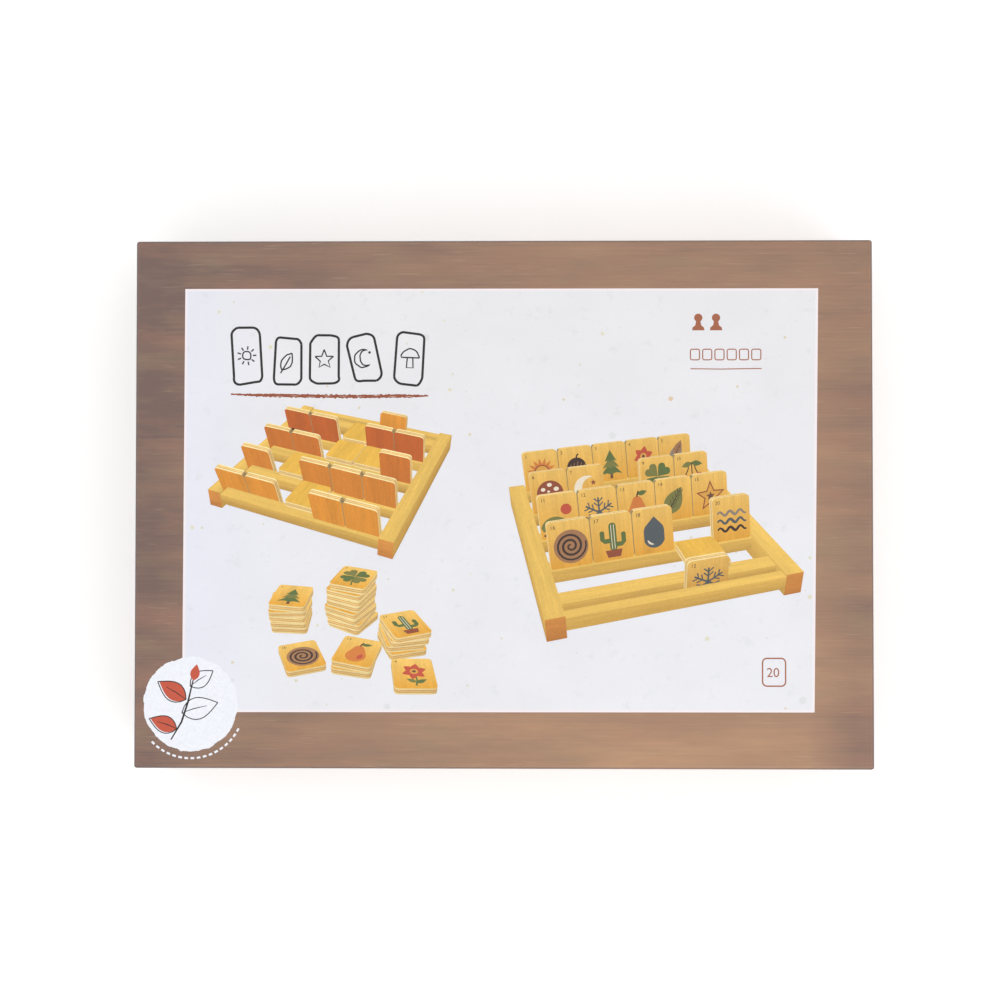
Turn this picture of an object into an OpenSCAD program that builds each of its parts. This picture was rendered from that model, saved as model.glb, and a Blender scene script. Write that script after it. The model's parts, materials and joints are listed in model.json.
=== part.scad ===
// Boxed tile-flipping guessing game for two players.
// A lift-off cardboard lid and tray hold two slatted wooden racks, one on the other, with
// twenty plywood picture tiles lying face down in each, and a bay of twenty loose tiles.
// Frame: X runs along the box's long side, Y from the players' edge to the back, Z up.
// The origin is the centre of the box's underside. All sizes are in millimetres.

/* [Tiles] */
// Width of one tile
tile_w = 40; // [34:0.5:48]
// Height of one standing tile
tile_h = 47; // [40:0.5:57]
// Thickness of one plywood tile
tile_t = 7; // [5.5:0.1:8.4]
// Radius of a tile's four corners
tile_corner_r = 4; // [2:0.5:6]
// Foot of a tile that drops behind the lip of its groove
tile_foot = 1.5; // [1:0.1:2]
// Gap on each side of a tile in its row
tile_gap = 1; // [0.5:0.1:2]

/* [Rack] */
// Width of a side rail
rail_w = 17.5; // [14:0.5:22]
// Radius of the eased edges of a rail
rail_edge_r = 1.2; // [0.6:0.1:2]
// Height of a cross bar
bar_h = 13; // [11:0.5:15.5]
// Radius of the eased edges of a bar
bar_edge_r = 0.8; // [0.4:0.1:1.2]
// Step from the top of the rails down to the top of the bars
bar_drop = 2.5; // [1.5:0.25:4]
// Depth of the front bar
front_bar_d = 11; // [10:0.5:14]
// Play of the secret tile in its slot
slot_play = 2; // [1.5:0.1:4]
// Depth of the bar behind that slot
slot_bar_d = 17; // [14:0.5:21]
// Length of a row bar, behind its groove, that a fallen tile's free edge lies on
rear_rest = 4; // [2:0.25:8]
// Lip of a row bar in front of its groove
groove_lip = 3; // [2:0.25:3.5]
// Clearance between a tile's foot and its groove
groove_fit = 0.2; // [0.15:0.05:0.4]
// Lean of a standing tile, back from upright, in degrees
lean = 15; // [10:0.5:18]
// Length of the slot bar that a fallen front tile lies on
front_rest = 8.5; // [5:0.5:12]
// Space from a fallen tile to the tile standing in the next row
fall_gap = 0.8; // [0.5:0.1:2]
// Space under a rack's bars, over the fallen tiles of a rack below it
stack_gap = 3.4; // [1:0.2:8]

/* [Joinery] */
// Diameter of a hidden dowel
dowel_d = 5; // [4:0.25:5.5]
// Length of a hidden dowel
dowel_l = 20; // [16:1:24]
// Diameter of a screw's shank
screw_d = 3.4; // [3:0.1:4]
// Length of a screw, head included
screw_l = 30; // [24:1:36]
// Diameter of a screw's head
screw_head_d = 6.6; // [6:0.1:7.5]
// Height of a screw's head
screw_head_h = 2.4; // [2:0.1:3]
// Depth of the counterbore over a screw's head
counterbore_depth = 5; // [4:0.5:7]
// Distance of a dowel or screw from the underside and outer side of its bar
joint_inset = 5; // [4.5:0.25:5.5]
// Radial clearance of a dowel or screw in its hole
joint_fit = 0.06; // [0.03:0.01:0.1]
// Radial clearance of a screw's head in its counterbore
head_fit = 0.2; // [0.1:0.05:0.4]

/* [Box] */
// Thickness of the greyboard
board_t = 2; // [1.6:0.1:3]
// Thickness of the printed paper wrap
wrap_t = 0.3; // [0.2:0.05:0.5]
// Clearance between the lid's skirt and the tray, on each side
lid_fit = 0.6; // [0.4:0.1:1.2]
// Height of the tray that shows below the lid's skirt
lid_reveal = 6; // [3:0.5:20]
// Space between the top tiles and the lid
head_room = 1.8; // [1:0.1:6]
// Radius of the box's outer edges
box_edge_r = 2; // [0.8:0.1:2.2]
// Height of the paper that is folded in over a rim
turn_in = 15; // [8:1:20]

/* [Storage] */
// Space round the racks in their bay
rack_play = 1.5; // [1:0.25:4]
// Gap beside each pile in the tile bay
cell_gap = 12.5; // [10:0.5:20]
// Thickness of the dividing card
card_t = 2; // [1.5:0.1:3]
// Step from the tray's rim down to the top of the divider
divider_drop = 8.5; // [2:0.5:16]
// Height of the partitions over the piles of loose tiles
pile_cover = 16; // [4:1:20]
// Play on each side of the folded rules leaflet
leaflet_side_play = 9.2; // [2:0.2:20]
// Play at each end of the folded rules leaflet
leaflet_end_play = 24; // [2:1:60]

/* [Hidden] */
$fn = 48;
TILES_PER_ROW = 5;
ROWS = 4;
CELLS = 5;
RACKS = ["lower", "upper"];
WOOD = "burlywood";
TILE_WOOD = "goldenrod";
PRINT = "rosybrown";
GREYBOARD = "gainsboro";

// Gap under or beside a piece that only lies against another
rest_gap = 0.1;
// Space past the end of a dowel or screw
blind_end = 0.5;
// Run of a cut past the face that it opens
through = 1;
screw_tip_d = 0.8;
screw_recess_w = 0.9;
PILE = 2;
LEAFLET_LAYERS = 3;
leaflet_paper_t = 0.3;

// Tile and groove
groove_r = norm([tile_foot, tile_t]) + groove_fit;
tile_reach = tile_h - tile_foot;
standing_back = tile_t / cos(lean) + tile_t * tan(lean);
row_pitch = tile_reach + standing_back + fall_gap;
row_bar_d = groove_lip + standing_back + fall_gap + rear_rest;
slot_w = tile_t + slot_play;

// Rack, from its front left corner
bar_l = TILES_PER_ROW * tile_w + (TILES_PER_ROW + 1) * tile_gap;
rack_w = bar_l + 2 * rail_w;
bar_z = tile_t + rest_gap - bar_drop + stack_gap;
bar_top = bar_z + bar_h;
rail_h = bar_top + bar_drop;
slot_bar_y = front_bar_d + slot_w;
front_row_y = slot_bar_y + slot_bar_d + tile_reach - groove_lip - front_rest;
rack_l = front_row_y + (ROWS - 1) * row_pitch + row_bar_d;
joint_z = bar_z + joint_inset;
screw_bite = screw_l - screw_head_h - (rail_w - counterbore_depth);

// Box, worked out from what it holds
bay_w = 2 * tile_w + 3 * cell_gap;
tray_in_w = rack_w + 2 * rack_play + card_t + bay_w;
tray_in_d = rack_l + 2 * rack_play;
lower_z = board_t + rest_gap;
upper_z = lower_z + rail_h + rest_gap;
tile_rest_z = bar_top + rest_gap;
tray_h = upper_z + tile_rest_z + tile_t + head_room;
tray_w = tray_in_w + 2 * (board_t + wrap_t);
tray_d = tray_in_d + 2 * (board_t + wrap_t);
lid_in_w = tray_w + 2 * lid_fit;
lid_in_d = tray_d + 2 * lid_fit;
box_w = lid_in_w + 2 * (2 * wrap_t + board_t);
box_d = lid_in_d + 2 * (2 * wrap_t + board_t);
box_h = tray_h + rest_gap + board_t + wrap_t;
rack_x = -tray_in_w / 2 + rack_play;
rack_y = -tray_in_d / 2 + rack_play;
divider_x = rack_x + rack_w + rack_play;
bay_x = divider_x + card_t;
cell_d = (tray_in_d - (CELLS - 1) * card_t) / CELLS;
card_end_fit = wrap_t + rest_gap;
divider_h = tray_h - divider_drop - board_t;
partition_h = PILE * (tile_t + rest_gap) + pile_cover;
tongue_z = partition_h / 2;
leaflet_w = bay_w - 2 * leaflet_side_play;
leaflet_l = tray_in_d - 2 * leaflet_end_play;

function two_digits(n) = n < 10 ? str("0", n) : str(n);
function rack_z(rack) = rack == "upper" ? upper_z : lower_z;
// Rows are numbered from the back, as the tiles are.
function row_y(row) = front_row_y + (ROWS - row) * row_pitch;
function tile_row(tile) = ceil(tile / TILES_PER_ROW);
function tile_column(tile) = tile - (tile_row(tile) - 1) * TILES_PER_ROW;
function column_x(column) = rail_w + tile_gap + (column - 1) * (tile_w + tile_gap);
function cell_y(cell) = -tray_in_d / 2 + (cell - 1) * (cell_d + card_t);

RACK_PARTS = concat(
    ["left_rail", "right_rail", "front_bar", "slot_bar"],
    [for (row = [1:ROWS]) str("row_bar_", row)],
    ["screws", "dowels"]
);

// ---- Shapes that repeat ----

// A flat rectangle with round corners, its low corner at the origin.
module rounded_rect(size, r) {
    translate([r, 0]) square([size.x - 2 * r, size.y]);
    translate([0, r]) square([size.x, size.y - 2 * r]);
    for (x = [r, size.x - r], y = [r, size.y - r])
        translate([x, y]) circle(r);
}

// An upright block centred on the Z axis, with round vertical edges, from z0 to z1.
module block(w, d, z0, z1, r) {
    translate([-w / 2, -d / 2, z0])
        linear_extrude(z1 - z0)
            rounded_rect([w, d], r);
}

// A block whose upper edges are round as well.
module soft_topped_block(w, d, z0, z1, r) {
    intersection() {
        block(w, d, z0, z1, r);
        translate([-w / 2, -d / 2, z0 - r])
            along_x(w) rounded_rect([d, z1 - z0 + r], r);
        translate([w / 2, -d / 2, z0 - r])
            rotate([0, 0, 90]) along_x(d) rounded_rect([w, z1 - z0 + r], r);
    }
}

// An upright block with square edges.
module cavity(w, d, z0, z1) {
    translate([-w / 2, -d / 2, z0]) cube([w, d, z1 - z0]);
}

// A cylinder along +X, from the origin.
module rod_x(d, l) {
    rotate([0, 90, 0]) cylinder(d = d, h = l);
}

// Extrudes a profile drawn in Y and Z along +X.
module along_x(l) {
    rotate([90, 0, 90]) linear_extrude(l) children();
}

// ---- Tiles ----

// One tile lying face down, its low corner at the origin.
module tile() {
    color(TILE_WOOD)
        linear_extrude(tile_t)
            rounded_rect([tile_w, tile_h], tile_corner_r);
}

// A tile at rest in a rack: its foot lies just behind the lip of its row's groove.
module racked_tile(row, column) {
    translate([column_x(column), row_y(row) + groove_lip - tile_reach, tile_rest_z]) tile();
}

module racked_row(row) {
    for (column = [1:TILES_PER_ROW]) racked_tile(row, column);
}

// Two piles of tiles side by side in one cell of the bay.
module guess_tiles(cell) {
    for (pile = [0, 1], layer = [0:PILE - 1])
        translate([
            bay_x + cell_gap + pile * (tile_w + cell_gap),
            cell_y(cell) + (cell_d - tile_h) / 2,
            board_t + rest_gap + layer * (tile_t + rest_gap)
        ]) tile();
}

// ---- Rack ----

// The bars' joint centres along Y: the outer two bars are screwed, the others dowelled.
function screw_ys() = [joint_inset, rack_l - joint_inset];
function dowel_ys() = concat(
    [slot_bar_y + slot_bar_d - joint_inset],
    [for (row = [2:ROWS]) row_y(row) + row_bar_d - joint_inset]
);

// A side rail; side is -1 for the left and 1 for the right.
module rail(side) {
    outer_x = side < 0 ? 0 : rack_w;
    inner_x = side < 0 ? rail_w : rack_w - rail_w;
    color(WOOD) difference() {
        translate([min(outer_x, inner_x), rack_l, 0])
            rotate([90, 0, 0])
                linear_extrude(rack_l)
                    rounded_rect([rail_w, rail_h], rail_edge_r);
        for (y = dowel_ys())
            translate([inner_x + side * (dowel_l / 2 + blind_end), y, joint_z])
                mirror([side > 0 ? 1 : 0, 0, 0])
                    rod_x(dowel_d + 2 * joint_fit, dowel_l / 2 + blind_end + through);
        for (y = screw_ys())
            translate([outer_x, y, joint_z]) mirror([side > 0 ? 1 : 0, 0, 0]) {
                translate([-through, 0, 0]) rod_x(screw_d + 2 * joint_fit, rail_w + 2 * through);
                translate([-through, 0, 0])
                    rod_x(screw_head_d + 2 * head_fit, counterbore_depth + through);
            }
    }
}

// Blind holes in both ends of a bar.
module end_holes(y, d, depth) {
    for (side = [-1, 1])
        translate([rack_w / 2 - side * (bar_l / 2 + through), y, joint_z])
            mirror([side < 0 ? 1 : 0, 0, 0])
                rod_x(d + 2 * joint_fit, depth + blind_end + through);
}

// A plain cross bar from front edge y0, with its joints at joint_y.
module bar(y0, depth, joint_y, hole_d, hole_depth) {
    color(WOOD) difference() {
        translate([rail_w, 0, 0])
            along_x(bar_l)
                translate([y0, bar_z]) rounded_rect([depth, bar_h], bar_edge_r);
        end_holes(joint_y, hole_d, hole_depth);
        children();
    }
}

module front_bar() {
    bar(0, front_bar_d, joint_inset, screw_d, screw_bite);
}

module slot_bar() {
    bar(slot_bar_y, slot_bar_d, slot_bar_y + slot_bar_d - joint_inset, dowel_d, dowel_l / 2);
}

// The groove, drawn from the point on the lip that a tile tips about. Its front wall and
// floor lean with the standing tile, and its back is the round that the tile's foot sweeps.
module groove_profile() {
    intersection() {
        circle(groove_r);
        rotate(-lean)
            translate([-groove_fit, -tile_foot - groove_fit])
                square([groove_r + 2 * groove_fit, 2 * groove_r]);
    }
}

module row_bar(row) {
    y0 = row_y(row);
    screwed = row == 1;
    bar(y0, row_bar_d, y0 + row_bar_d - joint_inset,
        screwed ? screw_d : dowel_d, screwed ? screw_bite : dowel_l / 2)
        translate([rail_w - through, 0, 0])
            along_x(bar_l + 2 * through)
                translate([y0 + groove_lip, tile_rest_z]) groove_profile();
}

// A cross-head screw along +X, from the top of its head. Its tip is as long as it is thick.
module screw() {
    recess_l = screw_head_d * 2 / 3;
    color("silver") difference() {
        union() {
            rod_x(screw_head_d, screw_head_h);
            translate([screw_head_h, 0, 0]) rod_x(screw_d, screw_l - screw_head_h - screw_d);
            translate([screw_l - screw_d, 0, 0])
                rotate([0, 90, 0]) cylinder(d1 = screw_d, d2 = screw_tip_d, h = screw_d);
        }
        for (turn = [0, 90])
            rotate([turn, 0, 0])
                translate([-through, -screw_recess_w / 2, -recess_l / 2])
                    cube([through + screw_head_h / 2, screw_recess_w, recess_l]);
    }
}

module screws() {
    for (y = screw_ys(), side = [-1, 1])
        translate([rack_w / 2 + side * (rack_w / 2 - counterbore_depth + screw_head_h), y, joint_z])
            mirror([side > 0 ? 1 : 0, 0, 0])
                screw();
}

module dowels() {
    color(WOOD)
        for (y = dowel_ys(), x = [rail_w, rack_w - rail_w])
            translate([x - dowel_l / 2, y, joint_z]) rod_x(dowel_d, dowel_l);
}

module rack_part(part) {
    if (part == "left_rail") rail(-1);
    if (part == "right_rail") rail(1);
    if (part == "front_bar") front_bar();
    if (part == "slot_bar") slot_bar();
    for (row = [1:ROWS])
        if (part == str("row_bar_", row)) row_bar(row);
    if (part == "screws") screws();
    if (part == "dowels") dowels();
}

module in_rack(rack) {
    translate([rack_x, rack_y, rack_z(rack)]) children();
}

// ---- Box ----

// Bare board of the lid: an open box, rim down.
module lid_board() {
    color(GREYBOARD) difference() {
        soft_topped_block(
            box_w - 2 * wrap_t, box_d - 2 * wrap_t,
            lid_reveal + wrap_t, box_h - wrap_t, box_edge_r - wrap_t
        );
        lid_cavity(lid_reveal - through);
    }
}

// The space inside the lid's board, from z0 up.
module lid_cavity(z0) {
    cavity(box_w - 2 * (wrap_t + board_t), box_d - 2 * (wrap_t + board_t), z0, box_h - wrap_t - board_t);
}

// Printed paper over the lid, turned in over the rim.
module lid_wrap() {
    fold_z = lid_reveal + wrap_t + turn_in;
    color(PRINT) difference() {
        soft_topped_block(box_w, box_d, lid_reveal, box_h, box_edge_r);
        lid_board();
        lid_cavity(fold_z);
        cavity(lid_in_w, lid_in_d, lid_reveal - through, fold_z + through);
    }
}

// Bare board of the tray: an open box, rim up.
module tray_board() {
    color(GREYBOARD) difference() {
        block(tray_w - 2 * wrap_t, tray_d - 2 * wrap_t, 0, tray_h - wrap_t, box_edge_r - wrap_t);
        cavity(tray_in_w, tray_in_d, board_t, tray_h + through);
    }
}

// Printed paper round the tray's walls, turned in over the rim.
module tray_wrap() {
    fold_z = tray_h - wrap_t - turn_in;
    color(PRINT) difference() {
        block(tray_w, tray_d, 0, tray_h, box_edge_r);
        tray_board();
        cavity(tray_in_w, tray_in_d, board_t, fold_z);
        cavity(tray_in_w - 2 * wrap_t, tray_in_d - 2 * wrap_t, fold_z - through, tray_h + through);
    }
}

// Card between the racks and the tile bay, notched for the partitions' tongues.
module bay_divider() {
    color(GREYBOARD) difference() {
        translate([divider_x, -tray_in_d / 2 + card_end_fit, board_t])
            cube([card_t, tray_in_d - 2 * card_end_fit, divider_h]);
        for (cell = [2:CELLS])
            translate([divider_x - through, cell_y(cell) - card_t - rest_gap, board_t + tongue_z - rest_gap])
                cube([card_t + 2 * through, card_t + 2 * rest_gap, divider_h]);
    }
}

// Cards across the tile bay, each hooked into the divider by a tongue.
module bay_partitions() {
    color(GREYBOARD)
        for (cell = [2:CELLS])
            translate([bay_x, cell_y(cell) - card_t, board_t]) {
                translate([rest_gap, 0, 0])
                    cube([bay_w - rest_gap - card_end_fit, card_t, partition_h]);
                translate([-card_t, 0, tongue_z])
                    cube([card_t + through, card_t, partition_h - tongue_z]);
            }
}

// The leaflet's section: a sheet folded in a Z, centred on the origin, lowest layer at y = 0.
module folded_sheet() {
    layer_step = leaflet_paper_t + rest_gap;
    fold_r = leaflet_paper_t + rest_gap / 2;
    for (layer = [0:LEAFLET_LAYERS - 1])
        translate([-leaflet_w / 2 + fold_r, layer * layer_step])
            square([leaflet_w - 2 * fold_r, leaflet_paper_t]);
    for (fold = [0:LEAFLET_LAYERS - 2])
        translate([0, fold * layer_step + fold_r])
            mirror([fold % 2, 0])
                translate([leaflet_w / 2 - fold_r, 0])
                    difference() {
                        circle(fold_r);
                        circle(rest_gap / 2);
                        translate([-2 * fold_r, -fold_r]) square([2 * fold_r, 2 * fold_r]);
                    }
}

// A folded leaflet lying on the partitions.
module rules_leaflet() {
    color("white")
        translate([bay_x + bay_w / 2, leaflet_l / 2, board_t + partition_h + rest_gap])
            rotate([90, 0, 0])
                linear_extrude(leaflet_l) folded_sheet();
}

// ---- Nodes ----

tray_board();
tray_wrap();
bay_divider();
bay_partitions();
lid_board();
lid_wrap();
rules_leaflet();
for (rack = RACKS, part = RACK_PARTS)
    in_rack(rack) rack_part(part);
for (tile = [1:ROWS * TILES_PER_ROW])
    in_rack("upper") racked_tile(tile_row(tile), tile_column(tile));
for (row = [1:ROWS])
    in_rack("lower") racked_row(row);
for (cell = [1:CELLS])
    guess_tiles(cell);
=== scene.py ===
"""Looks of the boxed tile-flipping guessing game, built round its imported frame.

The frame is in metres. Outlines and prints are drawn in millimetres, and become metres in their mesh.
"""

import json
import math
import random

import bmesh
import bpy
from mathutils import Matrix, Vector, noise


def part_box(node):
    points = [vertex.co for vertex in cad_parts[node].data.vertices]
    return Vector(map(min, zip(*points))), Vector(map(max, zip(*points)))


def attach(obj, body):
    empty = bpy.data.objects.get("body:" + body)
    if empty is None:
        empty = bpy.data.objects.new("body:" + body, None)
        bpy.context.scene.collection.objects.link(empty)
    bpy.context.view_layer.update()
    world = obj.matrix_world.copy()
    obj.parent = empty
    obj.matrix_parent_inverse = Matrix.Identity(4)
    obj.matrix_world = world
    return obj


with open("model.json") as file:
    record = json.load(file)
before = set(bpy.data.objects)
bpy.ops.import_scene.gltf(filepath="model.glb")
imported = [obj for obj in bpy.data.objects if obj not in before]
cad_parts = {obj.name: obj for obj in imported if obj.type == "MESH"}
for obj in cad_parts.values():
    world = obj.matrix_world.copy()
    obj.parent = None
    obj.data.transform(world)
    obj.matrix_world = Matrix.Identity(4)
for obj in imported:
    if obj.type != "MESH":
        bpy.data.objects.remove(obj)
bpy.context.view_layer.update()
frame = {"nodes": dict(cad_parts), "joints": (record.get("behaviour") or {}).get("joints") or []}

MM = 0.001
UP = Vector((0, 0, 1))
AXES = (Vector((1, 0, 0)), Vector((0, 1, 0)), UP)


def node_box(node):
    """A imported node's lowest and highest corners, in millimetres."""
    low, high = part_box(node)
    return low / MM, high / MM


LID_HIGH = node_box("lid_wrap")[1]
TILE_LOW, TILE_HIGH = node_box("upper_tile_01")
TILE_W, TILE_H, TILE_T = TILE_HIGH - TILE_LOW
TILE_CORNER = 4
TILE_GAP = 0.1
TILE_STEP = TILE_T + TILE_GAP
RACK_ROWS, RACK_COLUMNS = 4, 5
BAY_CELLS, BAY_LAYERS = 5, 2

# How far ink stands proud of its paper, how deep its slab reaches in, and the rise where one shape lies over
# another: a full step over another tint, and a hair over the same one.
INK_UP, INK_IN = 0.02, 0.01
INK_STEP, INK_HAIR = 0.005, 0.001

# The pale panel's corners on the lid, anticlockwise from its lower left, measured in the photograph. The
# print sits a little askew.
PANEL = [(-162.7, -105.6), (157.1, -105.2), (159.7, 109.3), (-162.0, 109.5)]
PANEL_UP = 0.02


# ---------------- colours

def srgb(red, green, blue):
    """A screen colour, 0 to 255, as the linear colour that Blender wants."""
    def linear(value):
        value /= 255
        return value / 12.92 if value <= 0.04045 else ((value + 0.055) / 1.055) ** 2.4
    return (linear(red), linear(green), linear(blue), 1)


UMBER = srgb(62, 42, 34)
BROWN = srgb(112, 74, 52)
TAN = srgb(168, 122, 84)
RUST = srgb(150, 78, 50)
TERRACOTTA = srgb(200, 84, 58)
ORANGE = srgb(216, 128, 58)
AMBER = srgb(226, 168, 74)
CREAM = srgb(246, 236, 214)
STONE = srgb(146, 134, 120)
OLIVE = srgb(126, 126, 66)
LEAF = srgb(96, 114, 60)
SLATE = srgb(84, 92, 98)
CHARCOAL = srgb(28, 24, 24)
WHITE = srgb(243, 245, 252)
MARK_INK = srgb(166, 98, 68)

# The wood in the lid's small scenes.
PLY_FACE = srgb(244, 199, 104)
PLY_FACE_FOOT = srgb(232, 168, 54)
PLY_LYING = srgb(236, 185, 72)
PLY_BACK = srgb(238, 158, 50)
PLY_BACK_FAR = srgb(206, 104, 34)
PLY_EDGE = srgb(255, 232, 166)
PLY_CORE = srgb(244, 204, 128)
GLUE_LINE = srgb(176, 112, 50)
RAIL_WOOD = srgb(235, 192, 94)
END_GRAIN = srgb(228, 154, 70)


# ---------------- node materials

def feed(tree, socket, value):
    """Links a wire to a socket, or sets the socket to a number, vector or colour."""
    if isinstance(value, Wire):
        tree.links.new(value.socket, socket)
    else:
        socket.default_value = value[:3] if socket.type == "VECTOR" else value


def add_node(tree, kind, inputs, out=0, **settings):
    """Adds a node with these settings, feeds the inputs named or numbered, and returns one output's wire."""
    node = tree.nodes.new(kind)
    for key, value in settings.items():
        setattr(node, key, value)
    for slot, value in inputs.items():
        feed(tree, node.inputs[slot], value)
    return Wire(tree, node.outputs[out])


class Wire:
    """What one node hands to others. A sum written with wires adds the nodes that work it out."""

    def __init__(self, tree, socket):
        self.tree, self.socket = tree, socket

    def into(self, kind, inputs, out=0, **settings):
        return add_node(self.tree, kind, inputs, out, **settings)

    def calc(self, operation, *others):
        return self.into("ShaderNodeMath", dict(enumerate((self, *others))), operation=operation)

    def __add__(self, other):
        return self.calc("ADD", other)

    def __sub__(self, other):
        return self.calc("SUBTRACT", other)

    def __rsub__(self, number):
        return self.into("ShaderNodeMath", {0: number, 1: self}, operation="SUBTRACT")

    def __mul__(self, other):
        return self.calc("MULTIPLY", other)

    def __truediv__(self, other):
        return self.calc("DIVIDE", other)

    def __gt__(self, other):
        return self.calc("GREATER_THAN", other)

    def __lt__(self, other):
        return self.calc("LESS_THAN", other)

    def __abs__(self):
        return self.calc("ABSOLUTE")

    def fit(self, low, high, to_low=0.0, to_high=1.0):
        """Maps low to to_low and high to to_high, and holds what lies beyond."""
        return self.into("ShaderNodeMapRange", {0: self, 1: low, 2: high, 3: to_low, 4: to_high})

    def scaled(self, factors):
        return self.into("ShaderNodeVectorMath", {0: self, 1: factors}, operation="MULTIPLY")

    def moved(self, step):
        return self.into("ShaderNodeVectorMath", {0: self, 1: step}, operation="ADD")

    def parts(self):
        """The X, Y and Z of a vector."""
        node = self.into("ShaderNodeSeparateXYZ", {0: self}).socket.node
        return [Wire(self.tree, socket) for socket in node.outputs]

    def join(self, y, z):
        """The vector with this as its X."""
        return self.into("ShaderNodeCombineXYZ", {0: self, 1: y, 2: z})

    def noise(self, fineness, detail, roughness=0.55):
        """Smooth noise over this place. Its fineness is a number, or three for the three axes."""
        factors = fineness if isinstance(fineness, tuple) else (fineness,) * 3
        inputs = {"Vector": self.scaled(factors), "Scale": 1.0, "Detail": detail, "Roughness": roughness}
        return self.into("ShaderNodeTexNoise", inputs, "Fac")

    def dots(self, cell, share, radius):
        """A mask of soft round dots over this place, in about that share of cells, none over that radius."""
        distance = self.into("ShaderNodeTexVoronoi", {"Vector": self, "Scale": 1 / cell}, "Distance")
        chance = Wire(self.tree, distance.socket.node.outputs["Color"]).parts()[0]
        inside = chance.fit(1 - share, 1, 0, radius / cell) - distance
        return inside.fit(0, 0.3 * radius / cell)

    def mix(self, first, second):
        """The first colour where this is 0, and the second where it is 1."""
        return self.into("ShaderNodeMix", {0: self, 6: first, 7: second}, 2, data_type="RGBA")

    def shade(self, colour):
        """The colour times this."""
        return self.into("ShaderNodeVectorMath", {0: colour, 3: self}, operation="SCALE")


class Look:
    """A node material, with wires for the place on the surface, in millimetres, and for its normal."""

    def __init__(self, name):
        self.material = bpy.data.materials.new(name)
        self.material.use_nodes = True
        self.tree = self.material.node_tree
        self.tree.nodes.clear()
        self.shader = self.tree.nodes.new("ShaderNodeBsdfPrincipled")
        output = self.tree.nodes.new("ShaderNodeOutputMaterial")
        self.tree.links.new(self.shader.outputs["BSDF"], output.inputs["Surface"])
        self.place = add_node(self.tree, "ShaderNodeTexCoord", {}, "Object").scaled((1 / MM,) * 3)
        self.normal = add_node(self.tree, "ShaderNodeTexCoord", {}, "Normal")

    def attribute(self, name):
        return add_node(self.tree, "ShaderNodeAttribute", {}, "Vector", attribute_name=name)

    def bump(self, height, distance, strength=0.5):
        inputs = {"Height": height, "Distance": distance * MM, "Strength": strength}
        feed(self.tree, self.shader.inputs["Normal"], add_node(self.tree, "ShaderNodeBump", inputs))

    def finish(self, colour, roughness, **fixed):
        """Feeds the shader and returns the material. What is the same all over is set on its socket."""
        feed(self.tree, self.shader.inputs["Base Color"], colour)
        feed(self.tree, self.shader.inputs["Roughness"], roughness)
        for socket, value in fixed.items():
            self.shader.inputs[socket.replace("_", " ")].default_value = value
        return self.material

    def laminated(self, colour, patches):
        """Finishes printed paper under a thin film, a little duller where the patches are high."""
        self.bump(self.place.noise(PAPER_GRAIN, 3), PAPER_RELIEF, 0.4)
        return self.finish(colour, patches.fit(0.3, 0.7, 0.40, 0.48), **LAMINATE)


# A face whose normal has more than this share along an axis is taken to look that way.
FACING = 0.7
PAPER_GRAIN, PAPER_RELIEF = 2.2, 0.03
LAMINATE = {"Coat_Weight": 0.12, "Coat_Roughness": 0.3}
PALE_TIMBER, DARK_TIMBER = srgb(236, 196, 130), srgb(206, 152, 84)


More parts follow.
